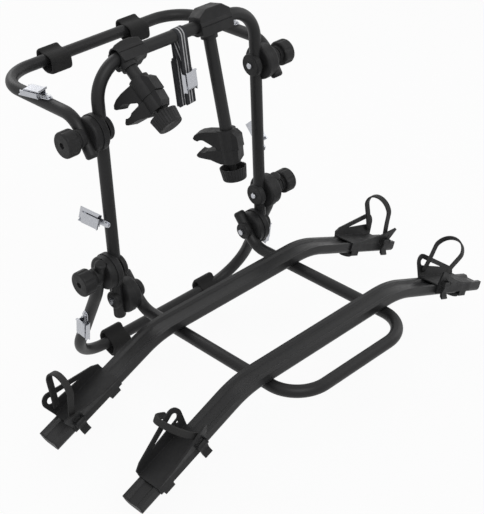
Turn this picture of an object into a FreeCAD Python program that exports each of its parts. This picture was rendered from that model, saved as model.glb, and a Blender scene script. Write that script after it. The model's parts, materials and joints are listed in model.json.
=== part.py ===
import FreeCAD, Part
import math
import os

os.makedirs("parts", exist_ok=True)

# Strap-on platform carrier for two bikes, in millimetres.
# X runs across the car, +Y points to the car, +Z is up.
# The origin is the middle of the lower arm hinge axis.

V = FreeCAD.Vector
X_AXIS = V(1, 0, 0)
Y_AXIS = V(0, 1, 0)
Z_AXIS = V(0, 0, 1)

# Round tube shared by every frame
TUBE_R = 14.0
TUBE_WALL = 2.0
TUBE_BORE_R = TUBE_R - TUBE_WALL

# Fits
RUNNING_GAP = 0.4
PIN_CLEARANCE = 0.08
PLUG_CLEARANCE = 0.1

# Main frame
LEG_X = 225.0
UPPER_HUB_Z = 338.0
LOWER_HUB_Z = 0.0
PLATFORM_HUB_Z = -82.0
MAIN_TOP_Z = 478.0
MAIN_FOOT_Z = -124.0
MAIN_BEND_R = 78.0
PLUG_LIP = 8.0
PLUG_ROUND = 6.5
PLUG_DEPTH = 18.0

# Hinge stack: leg, fixed disc, turning disc, arm, knob
HUB_SPACING = 45.0
HUB_FACE = HUB_SPACING / 2.0
HUB_DISC_R = 41.0
ARM_DISC_R = 39.0
DISC_ROUND = 6.0
LEG_SADDLE_R = 27.0
ARM_SADDLE_R = 21.0
SADDLE_ROUND = 5.0
SADDLE_INNER = 5.0
SADDLE_OUTER = 18.0
ARM_X = LEG_X + HUB_SPACING
PLATFORM_X = LEG_X - HUB_SPACING

# Hub bolts and knobs
BOLT_R = 4.0
BOLT_HEAD_R = 7.0
BOLT_HEAD_H = 5.0
KNOB_NECK_R = 20.0
KNOB_R = 29.0
KNOB_NECK_END = 26.0
KNOB_END = 56.0
KNOB_FLUTES = 6
KNOB_FLUTE_R = 9.0
KNOB_FLUTE_DEPTH = 1.6
KNOB_RECESS_R = 7.0
KNOB_RECESS_DEPTH = 5.0
BOLT_END = 46.0

# Upper rest frame: steep hub end, then level arms
UPPER_RISE = 39.0
UPPER_ANGLE = 58.0
UPPER_REACH = 304.0
UPPER_CORNER_R = 88.0
ARM_KINK_R = 60.0
ARM_TIP = 40.0

# Lower rest frame: angles from straight down, towards the car
LOWER_FIRST_ANGLE = 17.0
LOWER_FIRST_LENGTH = 60.0
LOWER_ANGLE = 27.0
LOWER_LENGTH = 286.0
LOWER_CORNER_R = 104.0
LOWER_KINK_R = 120.0
LOWER_TIP = 30.0

# Platform frame
PLATFORM_DROP = 38.0
PLATFORM_ANGLE = 52.0
PLATFORM_REACH = 515.0
PLATFORM_CORNER_R = 80.0

# Rest pads, profile sizes about the tube centre
PAD_LENGTH = 54.0
PAD_POCKET = 0.8
PAD_HOLLOW = 21.0
UPPER_PAD_X = (-112.0, 118.0)
LOWER_PAD_X = (-138.0, 168.0)
LOWER_PAD_TURN = 24.0

# Wheel rails
RAIL_WIDTH = 52.0
RAIL_HEIGHT = 27.0
RAIL_WALL = 2.5
RAIL_FLOOR = 4.0
RAIL_GROOVE_W = 34.0
RAIL_GROOVE_D = 5.0
RAIL_CORNER_R = 12.0
RAIL_SINK = 2.0
RAIL_SHIFT_X = -8.0
RAIL_HALF_STRAIGHT = 240.0
RAIL_DROOP_ANGLE = 22.5
RAIL_DROOP_LENGTH = 324.0
RAIL_BEND_R = 226.0
RAIL_Y = (-147.0, -418.0)
CAP_PLATE = 4.0
CAP_INSERT = 20.0

# Wheel cradles, in the frame of the drooping rail end
CRADLE_LENGTH = 140.0
CRADLE_END_GAP = 47.0
CRADLE_START = RAIL_DROOP_LENGTH - CRADLE_END_GAP - CRADLE_LENGTH
CRADLE_SLIDE = {"back_left": 0.0, "back_right": 9.0, "front_left": 0.0, "front_right": 0.0}
CRADLE_WALL = 4.0
CRADLE_FLOOR = 3.0
CRADLE_SKIRT = 18.0
CLAMP_BAND_START = 9.0
CLAMP_BAND_END = 35.0
CLAMP_BAND_WALL = 2.0
WING_FLARE = 15.0
LOBE_T = 129.0
LOBE_N = 36.0
LOBE_R = 19.0
LOBE_HOLE_R = 8.0
WING_SHOULDER_T = 16.0
WING_SHOULDER_N = 22.0
SLOT_START_T = 48.0
SLOT_START_N = 21.0
FRONT_WING_HIGH = 42.0
WING_LOW = 13.0
STRAP_PIVOT_T = 128.0
STRAP_PIVOT_N = 20.0
STRAP_PIN_R = 3.0
STRAP_HEIGHT = 99.0
STRAP_WIDTH = 16.0
STRAP_THICK = 4.0
STRAP_SHOULDER = 38.0
STRAP_BOW_R = 36.0
STRAP_ARC_STEPS = 12
LOCK_R = 16.0
LOCK_H = 8.0
LOCK_T = 22.0

# Bike arms
ARM1_X = -152.0
ARM1_ANGLE = 51.0
ARM1_KNOB = 165.0
ARM2_X = 83.0
ARM2_ANGLE = 11.0
ARM2_KNOB = 347.0
JAW_AZIMUTH = 66.0
ARM1_BRACKET = (-18.0, 48.0)
ARM2_BRACKET = (-33.0, 57.0)
BRACKET_R = 22.0
BRACKET_ROUND = 6.0
ARM1_DOME = 25.0
ARM2_DOME = 35.0
DOME_HALF = 20.0
DOME_SHOULDER = 20.0
DOME_SLOPE = 22.0
DOME_ROUND = 5.0
DOME_SOFT = 3.0
RELIEF_OVERRUN = 1.0
SHELL_SPLIT = 0.6
SEAM_DEPTH = 2.5
SCREW_R = 4.0
JAW_HALF_WIDTH = 16.0
HEAD_TOP = 100.0
HEAD_SEAM = 60.0
JAW_BOTTOM = 26.0
CUP_R = 31.0
CUP_H = 30.0

# Cam buckles
BUCKLE_LENGTH = 68.0
BUCKLE_WIDTH = 31.0
BUCKLE_SHEET = 1.8
BUCKLE_CHEEK = 12.0
BUCKLE_BOLT_R = 3.0

# Hanging strap
WEBBING_TILT = -5.0
WEBBING_WIDTH = 25.0
WEBBING_THICK = 1.8

# Strap ratchets and the lock stem
RATCHET_WIDTH = 20.0
RATCHET_PIN_R = 2.5
RATCHET_Y = 39.0
RATCHET_N = 8.0
RATCHET_T = 122.0
EAR_WALL = 3.0
EAR_R = 5.0
LOCK_STEM = 4.0
LOCK_ROUND = 3.0

# Clamp heads
SOCKET_R = 19.0
SOCKET_END = 32.0
TUBE_START = 19.0
POST_END = 34.0
POST_FLOOR = 6.0
SCREW_END = 9.0
HEAD_COLLAR_R = 22.0
COLLAR_RISE = 6.0
JAW_BARREL_R = 20.5
JAW_ROUND = 2.0
MOUTH_R = 15.0
MOUTH_N = 60.0
MOUTH_S = -70.0
MOUTH_ROOT = 29.0
MOUTH_ROOT_R = 4.0
CUP_WALL = 3.0
CUP_HUB_R = 8.0
CUP_FLUTES = 28

# Cam buckle details
CHEEK_START = 20.0
CHEEK_SHORT = 4.0
BUCKLE_LAP = 4.0
BUCKLE_EYE_R = 8.0
BUCKLE_HEAD_R = 5.5
BUCKLE_HEAD_H = 4.0
LEVER_THICK = 2.5
CAM_X = 52.0
CAM_Z = 10.2
CAM_R = 6.0
CAM_PIN_R = 2.5
UPPER_BUCKLE_Y = 108.0
UPPER_BUCKLE_SWING = (15.0, 0.0)
MAIN_BUCKLE_Z = 118.0
MAIN_BUCKLE_LIFT = (16.0, 50.0)
MAIN_BUCKLE_SWING = (22.0, 0.0)
LOWER_BUCKLE_RUN = 70.0
LOWER_BUCKLE_SWING = -18.0

# Folds of the hanging strap and of the hank behind it
STRAND_Y = TUBE_R + WEBBING_THICK / 2
WEBBING_DROP = 158.0
WEBBING_FOLD_R = 2.5
WEBBING_TAIL = 30.0
FOLD_STEPS = 6
STRAP_BUCKLE_DROP = 64.0
BUCKLE_BACK_Y = -STRAND_Y + BUCKLE_SHEET + 0.3 + WEBBING_THICK / 2
HANK_X = 4.0
HANK_TOP = 62.0
HANK_BOTTOM = 176.0
HANK_FOLDS = 4
HANK_GAP = 1.4
HANK_Y = STRAND_Y + WEBBING_THICK + 0.4
TIGHT_STRAP = "front_left"
STRAP_LEAN = {"back_left": -20.4, "back_right": -20.4, "front_left": -40.0, "front_right": -31.8}


def sine(degrees):
    return math.sin(math.radians(degrees))


def cosine(degrees):
    return math.cos(math.radians(degrees))


def cylinder(radius, start, end):
    axis = end.sub(start)
    return Part.makeCylinder(radius, axis.Length, start, axis)


def cone(radius_start, radius_end, start, end):
    axis = end.sub(start)
    return Part.makeCone(radius_start, radius_end, axis.Length, start, axis)


def block(low, high):
    size = high.sub(low)
    return Part.makeBox(size.x, size.y, size.z, low)


def prism(points, direction):
    outline = Part.makePolygon(points + [points[0]])
    return Part.Face(outline).extrude(direction)


def fuse_all(shapes):
    result = shapes[0]
    if len(shapes) > 1:
        result = shapes[0].multiFuse(shapes[1:])
    return result.removeSplitter()


def group(shapes):
    return Part.makeCompound(shapes)


def turned(shape, centre, axis, degrees):
    copy = shape.copy()
    copy.rotate(centre, axis, degrees)
    return copy


def moved(shape, offset):
    copy = shape.copy()
    copy.translate(offset)
    return copy


def mirrored_x(shape, x=0.0):
    return shape.mirror(V(x, 0, 0), X_AXIS)


def placed(shape, origin, along, normal):
    """Put a shape drawn with X along and Z normal at an origin."""
    side = normal.cross(along)
    rotation = FreeCAD.Rotation(along, side, normal, "XZY")
    copy = shape.copy()
    copy.Placement = FreeCAD.Placement(origin, rotation).multiply(copy.Placement)
    return copy


def rounded_path(points, radii):
    """Line and arc wire through points, with one radius for each inner corner."""
    edges = []
    cursor = points[0]
    for index in range(1, len(points) - 1):
        corner = points[index]
        back = points[index - 1].sub(corner).normalize()
        ahead = points[index + 1].sub(corner).normalize()
        half = back.getAngle(ahead) / 2.0
        radius = radii[index - 1]
        run = radius / math.tan(half)
        start = corner.add(V(back).multiply(run))
        end = corner.add(V(ahead).multiply(run))
        bisector = back.add(ahead).normalize()
        middle = corner.add(V(bisector).multiply(radius / math.sin(half) - radius))
        edges.append(Part.makeLine(cursor, start))
        edges.append(Part.Arc(start, middle, end).toShape())
        cursor = end
    edges.append(Part.makeLine(cursor, points[-1]))
    return Part.Wire(edges)


def round_bar(points, radii, radius):
    path = rounded_path(points, radii)
    direction = points[1].sub(points[0])
    section = Part.Wire(Part.makeCircle(radius, points[0], direction))
    return path.makePipeShell([section], True, False)


def rounded_end(shape, centre, radius):
    """Round the circular edge that lies about a point."""
    rim = []
    for edge in shape.Edges:
        if edge.Curve.TypeId == "Part::GeomCircle" and edge.Curve.Center.distanceToPoint(centre) < 0.01:
            rim.append(edge)
    return shape.makeFillet(radius, rim)


def x_cylinder(side, near, far, radius, y, z):
    """Cylinder along X, from near to far on one side of the car's middle."""
    return cylinder(radius, V(side * near, y, z), V(side * far, y, z))


def dome_plug(end, outward):
    """Rounded plastic plug in a tube end."""
    outward = V(outward).normalize()
    inside = end.sub(V(outward).multiply(PLUG_DEPTH))
    crown = end.add(V(outward).multiply(PLUG_LIP))
    stem = cylinder(TUBE_BORE_R - PLUG_CLEARANCE, inside, end)
    cap = cylinder(TUBE_R, end, crown)
    return fuse_all([stem, rounded_end(cap, crown, PLUG_ROUND)])


def main_frame_points():
    return [V(-LEG_X, 0, MAIN_FOOT_Z), V(-LEG_X, 0, MAIN_TOP_Z),
            V(LEG_X, 0, MAIN_TOP_Z), V(LEG_X, 0, MAIN_FOOT_Z)]


def upper_frame_points():
    tip_y = -ARM_TIP * cosine(UPPER_ANGLE)
    tip_z = UPPER_HUB_Z - ARM_TIP * sine(UPPER_ANGLE)
    kink_y = UPPER_RISE / math.tan(math.radians(UPPER_ANGLE))
    level = UPPER_HUB_Z + UPPER_RISE
    left = [V(-ARM_X, tip_y, tip_z), V(-ARM_X, kink_y, level), V(-ARM_X, UPPER_REACH, level)]
    return left + [V(-p.x, p.y, p.z) for p in reversed(left)]


def lower_frame_points():
    first_y = sine(LOWER_FIRST_ANGLE)
    first_z = -cosine(LOWER_FIRST_ANGLE)
    kink = V(-ARM_X, first_y * LOWER_FIRST_LENGTH, first_z * LOWER_FIRST_LENGTH)
    tip = V(-ARM_X, -first_y * LOWER_TIP, -first_z * LOWER_TIP)
    corner = kink.add(V(0, LOWER_LENGTH * sine(LOWER_ANGLE), -LOWER_LENGTH * cosine(LOWER_ANGLE)))
    left = [tip, kink, corner]
    return left + [V(-p.x, p.y, p.z) for p in reversed(left)]


def platform_points():
    tip_y = ARM_TIP * cosine(PLATFORM_ANGLE)
    tip_z = PLATFORM_HUB_Z + ARM_TIP * sine(PLATFORM_ANGLE)
    kink_y = -PLATFORM_DROP / math.tan(math.radians(PLATFORM_ANGLE))
    level = PLATFORM_HUB_Z - PLATFORM_DROP
    left = [V(-PLATFORM_X, tip_y, tip_z), V(-PLATFORM_X, kink_y, level),
            V(-PLATFORM_X, -PLATFORM_REACH, level)]
    return left + [V(-p.x, p.y, p.z) for p in reversed(left)]


def bolt_hole(side, near, far, z, clearance):
    return x_cylinder(side, near, far, BOLT_R + clearance, 0, z)


def frame_tube(points, radii, holes):
    outer = round_bar(points, radii, TUBE_R)
    inner = round_bar(points, radii, TUBE_BORE_R)
    return outer.cut(inner).cut(group(holes))


def frame_plugs(points):
    left = dome_plug(points[0], points[0].sub(points[1]))
    return group([left, mirrored_x(left)])


def hub_piece(side, tube_face, free_face, radius, rounding, round_face, z, grip):
    """Round hub body on the hinge axis, hollowed to sit on a tube."""
    body = x_cylinder(side, tube_face, free_face, radius, 0, z)
    body = rounded_end(body, V(side * round_face, 0, z), rounding)
    body = body.cut(grip)
    return body.cut(x_cylinder(side, tube_face, free_face, BOLT_R + PIN_CLEARANCE, 0, z))


def hub_disc(side, tube_face, free_face, radius, z, grip):
    return hub_piece(side, tube_face, free_face, radius, DISC_ROUND, tube_face, z, grip)


def hub_saddle(side, tube_face, free_face, radius, z, grip):
    return hub_piece(side, tube_face, free_face, radius, SADDLE_ROUND, free_face, z, grip)


def leg_bar(side):
    return cylinder(TUBE_R, V(side * LEG_X, 0, MAIN_FOOT_Z), V(side * LEG_X, 0, MAIN_TOP_Z - MAIN_BEND_R))


def knob(side, z):
    """Fluted clamping knob that turns on the end of a hub bolt."""
    face = ARM_X + SADDLE_OUTER + RUNNING_GAP
    neck_end = ARM_X + KNOB_NECK_END
    end = ARM_X + KNOB_END
    neck = x_cylinder(side, face, neck_end + 1, KNOB_NECK_R, 0, z)
    grip = x_cylinder(side, neck_end, end, KNOB_R, 0, z)
    grip = grip.makeFillet(5.0, [e for e in grip.Edges if e.Curve.TypeId == "Part::GeomCircle"])
    flutes = []
    for index in range(KNOB_FLUTES):
        angle = 360.0 * (index + 0.5) / KNOB_FLUTES
        reach = KNOB_R + KNOB_FLUTE_R - KNOB_FLUTE_DEPTH
        y = reach * cosine(angle)
        dz = reach * sine(angle)
        flutes.append(x_cylinder(side, neck_end - 1, end + 1, KNOB_FLUTE_R, y, z + dz))
    body = fuse_all([neck, grip]).cut(group(flutes))
    bore = x_cylinder(side, face - 1, ARM_X + BOLT_END + 0.5, BOLT_R + PIN_CLEARANCE, 0, z)
    recess = x_cylinder(side, end - KNOB_RECESS_DEPTH, end + 1, KNOB_RECESS_R, 0, z)
    return body.cut(bore).cut(recess)


def hub_bolt(side, z):
    head_face = LEG_X - SADDLE_OUTER
    head = x_cylinder(side, head_face - BOLT_HEAD_H, head_face, BOLT_HEAD_R, 0, z)
    head = head.makeFillet(2.0, [e for e in head.Edges
                                 if abs(e.CenterOfMass.x - side * (head_face - BOLT_HEAD_H)) < 0.1])
    shank = x_cylinder(side, head_face - 1, ARM_X + BOLT_END, BOLT_R, 0, z)
    return fuse_all([head, shank])


def platform_bolt(side):
    outer_face = LEG_X + SADDLE_OUTER
    inner_face = PLATFORM_X - SADDLE_OUTER - RUNNING_GAP
    z = PLATFORM_HUB_Z
    head = x_cylinder(side, outer_face, outer_face + BOLT_HEAD_H, BOLT_HEAD_R, 0, z)
    shank = x_cylinder(side, inner_face - BOLT_HEAD_H, outer_face + 1, BOLT_R, 0, z)
    nut = x_cylinder(side, inner_face - BOLT_HEAD_H, inner_face, BOLT_HEAD_R, 0, z)
    return fuse_all([head, shank, nut])


def pad_profile():
    """Outline of a rest pad about its tube: y to the car, z up."""
    return [(20.0, 23.0), (8.0, 15.5), (-14.0, 15.5), (-31.0, 9.0), (-33.5, -27.0),
            (0.0, -32.0), (30.0, -12.0), (30.0, 14.0)]


def rest_pad(x, centre_y, centre_z, turn):
    """Rubber rest round a tube, with a hollow in each end."""
    start = x - PAD_LENGTH / 2
    outline = [V(start, y, z) for y, z in pad_profile()]
    body = prism(outline, V(PAD_LENGTH, 0, 0))
    pocket = [V(start, y * PAD_POCKET, z * PAD_POCKET) for y, z in pad_profile()]
    hollow = prism(pocket, V(PAD_HOLLOW, 0, 0))
    far_hollow = moved(hollow, V(PAD_LENGTH - PAD_HOLLOW, 0, 0))
    tube = cylinder(TUBE_R, V(x - PAD_LENGTH, 0, 0), V(x + PAD_LENGTH, 0, 0))
    body = body.cut(group([hollow])).cut(group([far_hollow])).cut(tube)
    body = turned(body, V(0, 0, 0), X_AXIS, turn)
    return moved(body, V(0, centre_y, centre_z))


def rail_profile(y, bottom):
    """Outer outline of a wheel rail: wheel groove on top, round lower corners."""
    half = RAIL_WIDTH / 2
    groove = RAIL_GROOVE_W / 2
    top = bottom + RAIL_HEIGHT
    r = RAIL_CORNER_R
    k = r * (1 - cosine(45))
    edges = [
        Part.makeLine(V(0, y - half + r, bottom), V(0, y + half - r, bottom)),
        Part.Arc(V(0, y + half - r, bottom), V(0, y + half - k, bottom + k), V(0, y + half, bottom + r)).toShape(),
        Part.makeLine(V(0, y + half, bottom + r), V(0, y + half, top)),
        Part.makeLine(V(0, y + half, top), V(0, y + groove, top)),
        Part.makeLine(V(0, y + groove, top), V(0, y + groove - RAIL_GROOVE_D, top - RAIL_GROOVE_D)),
        Part.makeLine(V(0, y + groove - RAIL_GROOVE_D, top - RAIL_GROOVE_D),
                      V(0, y - groove + RAIL_GROOVE_D, top - RAIL_GROOVE_D)),
        Part.makeLine(V(0, y - groove + RAIL_GROOVE_D, top - RAIL_GROOVE_D), V(0, y - groove, top)),
        Part.makeLine(V(0, y - groove, top), V(0, y - half, top)),
        Part.makeLine(V(0, y - half, top), V(0, y - half, bottom + r)),
        Part.Arc(V(0, y - half, bottom + r), V(0, y - half + k, bottom + k), V(0, y - half + r, bottom)).toShape(),
    ]
    return Part.Face(Part.Wire(edges))


def rail_cavity(y, bottom, shrink=0.0):
    half = RAIL_WIDTH / 2 - RAIL_WALL - shrink
    low = bottom + RAIL_FLOOR + shrink
    high = bottom + RAIL_HEIGHT - RAIL_GROOVE_D - RAIL_WALL - shrink
    cut = 6.0
    points = [V(0, y - half + cut, low), V(0, y + half - cut, low), V(0, y + half, low + cut),
              V(0, y + half, high), V(0, y - half, high), V(0, y - half, low + cut)]
    return Part.Face(Part.makePolygon(points + [points[0]]))


RAIL_BOTTOM = PLATFORM_HUB_Z - PLATFORM_DROP + TUBE_R - RAIL_SINK
RAIL_TOP = RAIL_BOTTOM + RAIL_HEIGHT
BEND_RUN = RAIL_BEND_R * math.tan(math.radians(RAIL_DROOP_ANGLE / 2))
# The bend radius is kept at the rail's top edge
BEND_CENTRE = V(RAIL_HALF_STRAIGHT - BEND_RUN, 0, RAIL_TOP - RAIL_BEND_R)
DROOP = V(cosine(RAIL_DROOP_ANGLE), 0, -sine(RAIL_DROOP_ANGLE))
DROOP_UP = V(sine(RAIL_DROOP_ANGLE), 0, cosine(RAIL_DROOP_ANGLE))


def swept_rail_half(face, end_trim=0.0):
    """Right half of a rail section: straight, bend and drooping end."""
    straight = face.extrude(V(RAIL_HALF_STRAIGHT - BEND_RUN, 0, 0))
    at_bend = moved(face, V(RAIL_HALF_STRAIGHT - BEND_RUN, 0, 0))
    bend = at_bend.revolve(BEND_CENTRE, Y_AXIS, RAIL_DROOP_ANGLE)
    at_droop = turned(at_bend, BEND_CENTRE, Y_AXIS, RAIL_DROOP_ANGLE)
    run = RAIL_DROOP_LENGTH - BEND_RUN - end_trim
    droop = at_droop.extrude(V(DROOP).multiply(run))
    return fuse_all([straight, bend, droop])


def whole_rail(face):
    half = swept_rail_half(face)
    whole = fuse_all([half, mirrored_x(half)])
    return moved(whole, V(RAIL_SHIFT_X, 0, 0))


def wheel_rail(y, platform_bar):
    outer = whole_rail(rail_profile(y, RAIL_BOTTOM))
    inner = whole_rail(rail_cavity(y, RAIL_BOTTOM))
    return outer.cut(inner).cut(platform_bar)


def rail_end_cap(y):
    """Right end cap: plate with an insert in the rail."""
    start = V(RAIL_HALF_STRAIGHT - BEND_RUN, 0, 0)
    run = RAIL_DROOP_LENGTH - BEND_RUN
    plate = moved(rail_profile(y, RAIL_BOTTOM), start)
    plate = turned(plate, BEND_CENTRE, Y_AXIS, RAIL_DROOP_ANGLE)
    plate = moved(plate, V(DROOP).multiply(run)).extrude(V(DROOP).multiply(CAP_PLATE))
    insert = moved(rail_cavity(y, RAIL_BOTTOM, PLUG_CLEARANCE), start)
    insert = turned(insert, BEND_CENTRE, Y_AXIS, RAIL_DROOP_ANGLE)
    insert = moved(insert, V(DROOP).multiply(run - CAP_INSERT)).extrude(V(DROOP).multiply(CAP_INSERT + 1))
    return moved(fuse_all([plate, insert]), V(RAIL_SHIFT_X, 0, 0))


def to_rail_end(shape, right_side, rail_y, slide):
    """Carry a shape from the local frame of the right rail end to its place."""
    origin = V(RAIL_HALF_STRAIGHT, rail_y, RAIL_TOP).add(V(DROOP).multiply(CRADLE_START + slide))
    result = moved(placed(shape, origin, DROOP, DROOP_UP), V(RAIL_SHIFT_X, 0, 0))
    if not right_side:
        result = mirrored_x(result, RAIL_SHIFT_X)
    return result


def flip_along(shape, high_outer):
    """Turn a cradle piece so that its high end is the inner one."""
    if high_outer:
        return shape
    return mirrored_x(shape, CRADLE_LENGTH / 2)


CHANNEL_HALF = RAIL_WIDTH / 2 + RUNNING_GAP
UNDER_RAIL = -RAIL_HEIGHT - RUNNING_GAP


def cradle_base():
    """Saddle over the rail, with a clamping band round it at the low end."""
    outer_half = CHANNEL_HALF + CRADLE_WALL
    top = CRADLE_FLOOR + RUNNING_GAP
    saddle = block(V(0, -outer_half, -CRADLE_SKIRT), V(CRADLE_LENGTH, outer_half, top))
    band_half = CHANNEL_HALF + CLAMP_BAND_WALL
    band_low = UNDER_RAIL - CRADLE_WALL
    band = block(V(CLAMP_BAND_START, -band_half, band_low), V(CLAMP_BAND_END, band_half, top))
    channel = block(V(0, -CHANNEL_HALF, UNDER_RAIL), V(CRADLE_LENGTH, CHANNEL_HALF, RUNNING_GAP))
    return fuse_all([saddle, band]).cut(channel)


def tangent_point(point, centre, radius, side):
    """Where the line from a point touches a circle, on one side of its centre."""
    across = centre[0] - point[0]
    up = centre[1] - point[1]
    reach = math.hypot(across, up)
    angle = math.atan2(up, across) + side * math.asin(radius / reach)
    run = math.sqrt(reach ** 2 - radius ** 2)
    return (point[0] + run * math.cos(angle), point[1] + run * math.sin(angle))


def lobed_plate(points, foot, centre, radius):
    """Plate between straight runs and a round lobe, given as rail direction and height."""
    start = tangent_point(points[-1], centre, radius, 1)
    end = tangent_point(foot, centre, radius, -1)
    half_way = (math.atan2(start[1] - centre[1], start[0] - centre[0])
                + math.atan2(end[1] - centre[1], end[0] - centre[0])) / 2
    top = (centre[0] + radius * math.cos(half_way), centre[1] + radius * math.sin(half_way))
    route = [V(t, 0, n) for t, n in points + [start]]
    edges = [Part.makeLine(route[i], route[i + 1]) for i in range(len(route) - 1)]
    edges.append(Part.Arc(*[V(t, 0, n) for t, n in (start, top, end)]).toShape())
    edges.append(Part.makeLine(V(end[0], 0, end[1]), V(foot[0], 0, foot[1])))
    edges.append(Part.makeLine(V(foot[0], 0, foot[1]), route[0]))
    return Part.Face(Part.Wire(edges)).extrude(V(0, CRADLE_WALL, 0))


def tall_wing():
    """Wing towards the car, with a round lobe at its high end."""
    points = [(0.0, 0.0), (1.0, WING_LOW), (WING_SHOULDER_T, WING_SHOULDER_N)]
    plate = lobed_plate(points, (CRADLE_LENGTH, 0.0), (LOBE_T, LOBE_N), LOBE_R)
    return moved(plate, V(0, CHANNEL_HALF, 0))


def wing_slot():
    """Long tapered slot in the tall wing that opens into the lobe's hole."""
    centre = (LOBE_T, LOBE_N)
    start = (SLOT_START_T, SLOT_START_N)
    upper = tangent_point(start, centre, LOBE_HOLE_R, 1)
    lower = tangent_point(start, centre, LOBE_HOLE_R, -1)
    wedge = prism([V(t, 0, n) for t, n in (start, upper, centre, lower)], V(0, CRADLE_WALL, 0))
    hole = cylinder(LOBE_HOLE_R, V(LOBE_T, 0, LOBE_N), V(LOBE_T, CRADLE_WALL, LOBE_N))
    return fuse_all([wedge, hole])


def low_wing():
    """Wing on the outer side, rising to a blunt point at its high end."""
    points = [(0.0, 0.0), (1.0, 3.0), (50.0, 9.0), (95.0, 22.0), (146.0, FRONT_WING_HIGH + 3),
              (151.0, FRONT_WING_HIGH), (CRADLE_LENGTH, 0.0)]
    plate = prism([V(t, 0, n) for t, n in points], V(0, CRADLE_WALL, 0))
    return moved(plate, V(0, CHANNEL_HALF, 0))


def flared(shape):
    return turned(shape, V(0, CHANNEL_HALF, 0), X_AXIS, -WING_FLARE)


def wheel_cradle():
    back_wing = flared(tall_wing())
    front_wing = flared(low_wing()).mirror(V(0, 0, 0), Y_AXIS)
    slot = flared(moved(wing_slot(), V(0, CHANNEL_HALF, 0)))
    channel = block(V(-5, -CHANNEL_HALF, UNDER_RAIL), V(CRADLE_LENGTH + 15, CHANNEL_HALF, RUNNING_GAP))
    body = fuse_all([cradle_base(), back_wing, front_wing]).cut(channel).cut(slot)
    reach = CHANNEL_HALF + 3 * CRADLE_WALL
    axis_hole = cylinder(STRAP_PIN_R + PIN_CLEARANCE, V(STRAP_PIVOT_T, -reach, STRAP_PIVOT_N),
                         V(STRAP_PIVOT_T, reach, STRAP_PIVOT_N))
    stem_hole = cylinder(SCREW_R + PIN_CLEARANCE, V(LOCK_T, 0, UNDER_RAIL - CRADLE_WALL), V(LOCK_T, 0, UNDER_RAIL))
    return body.cut(axis_hole).cut(stem_hole)


def wing_face(n):
    """Distance of a wing's inner face from the rail's middle, at a height."""
    return CHANNEL_HALF + n * math.tan(math.radians(WING_FLARE))


LEG_Y = wing_face(STRAP_PIVOT_N - STRAP_WIDTH / 2) - RUNNING_GAP - STRAP_THICK / 2
PIN_REACH = wing_face(STRAP_PIVOT_N) + CRADLE_WALL


def strap_eye(y_sign):
    """Round end of a strap with the pin that enters a wing."""
    near = y_sign * (LEG_Y - STRAP_THICK / 2)
    far = y_sign * (LEG_Y + STRAP_THICK / 2)
    eye = cylinder(STRAP_WIDTH / 2, V(0, near, 0), V(0, far, 0))
    pin = cylinder(STRAP_PIN_R, V(0, near, 0), V(0, y_sign * PIN_REACH, 0))
    return fuse_all([eye, pin])


def strap_arch():
    """Upright strap loop between the wings, hung on two pins."""
    route = [(-LEG_Y, 0.0), (-LEG_Y, STRAP_SHOULDER)]
    centre = STRAP_HEIGHT - STRAP_BOW_R
    for index in range(STRAP_ARC_STEPS + 1):
        angle = 180.0 - 180.0 * index / STRAP_ARC_STEPS
        route.append((STRAP_BOW_R * cosine(angle), centre + STRAP_BOW_R * sine(angle)))
    route += [(LEG_Y, STRAP_SHOULDER), (LEG_Y, 0.0)]
    band = ribbon([V(0, y, n) for y, n in route], STRAP_THICK, X_AXIS, STRAP_WIDTH)
    return fuse_all([band, strap_eye(-1), strap_eye(1)])


def strap_flat():
    """Strap drawn over the tall wing, its loose end down the outside."""
    route = [(-LEG_Y, 0.0), (-LEG_Y, 9.0), (-LEG_Y + 5, 19.0), (-8.0, 33.0), (14.0, 43.0), (34.0, 47.5),
             (48.0, 47.0), (58.0, 40.0), (63.0, 26.0), (64.0, 4.0)]
    band = ribbon([V(0, y, n) for y, n in route], STRAP_THICK, X_AXIS, STRAP_WIDTH)
    return fuse_all([band, strap_eye(-1)])


def ribbon(points, thickness, across, width):
    """Flat band of even thickness through points, wide along one axis."""
    offset = V(across).multiply(-width / 2)
    sides = []
    for index, point in enumerate(points):
        before = points[max(index - 1, 0)]
        after = points[min(index + 1, len(points) - 1)]
        normal = across.cross(after.sub(before)).normalize()
        sides.append((point.add(V(normal).multiply(-thickness / 2)), point.add(V(normal).multiply(thickness / 2))))
    outline = [low for low, high in sides] + [high for low, high in reversed(sides)]
    return prism([p.add(offset) for p in outline], V(across).multiply(width))


def ratchet_lever():
    """Hooked lever of the strap ratchet, drawn about its pivot axis X."""
    half = RATCHET_WIDTH / 2
    profile = [(-1.0, 5.0), (-4.5, 3.0), (-5.5, -3.0), (-3.5, -12.0), (-1.0, -22.0), (-4.0, -29.0),
               (-7.0, -33.0), (-4.0, -36.0), (2.0, -31.0), (4.0, -23.0), (2.5, -12.0), (3.5, -4.0), (3.2, 3.0)]
    body = prism([V(-half, y, n) for y, n in profile], V(2 * half, 0, 0))
    return body.cut(cylinder(RATCHET_PIN_R + PIN_CLEARANCE, V(-half, 0, 0), V(half, 0, 0)))


def ratchet_mount():
    """Two ears and a pin on the front wing that carry the ratchet lever."""
    half = RATCHET_WIDTH / 2 + RUNNING_GAP
    back = RATCHET_Y - wing_face(RATCHET_N + EAR_R) - CRADLE_WALL / 4
    ears = []
    for sign in (-1, 1):
        low = min(sign * half, sign * (half + EAR_WALL))
        ears.append(block(V(low, -EAR_R, -EAR_R), V(low + EAR_WALL, back, EAR_R)))
    pin = cylinder(RATCHET_PIN_R, V(-half - EAR_WALL, 0, 0), V(half + EAR_WALL, 0, 0))
    return fuse_all(ears + [pin])


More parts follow.
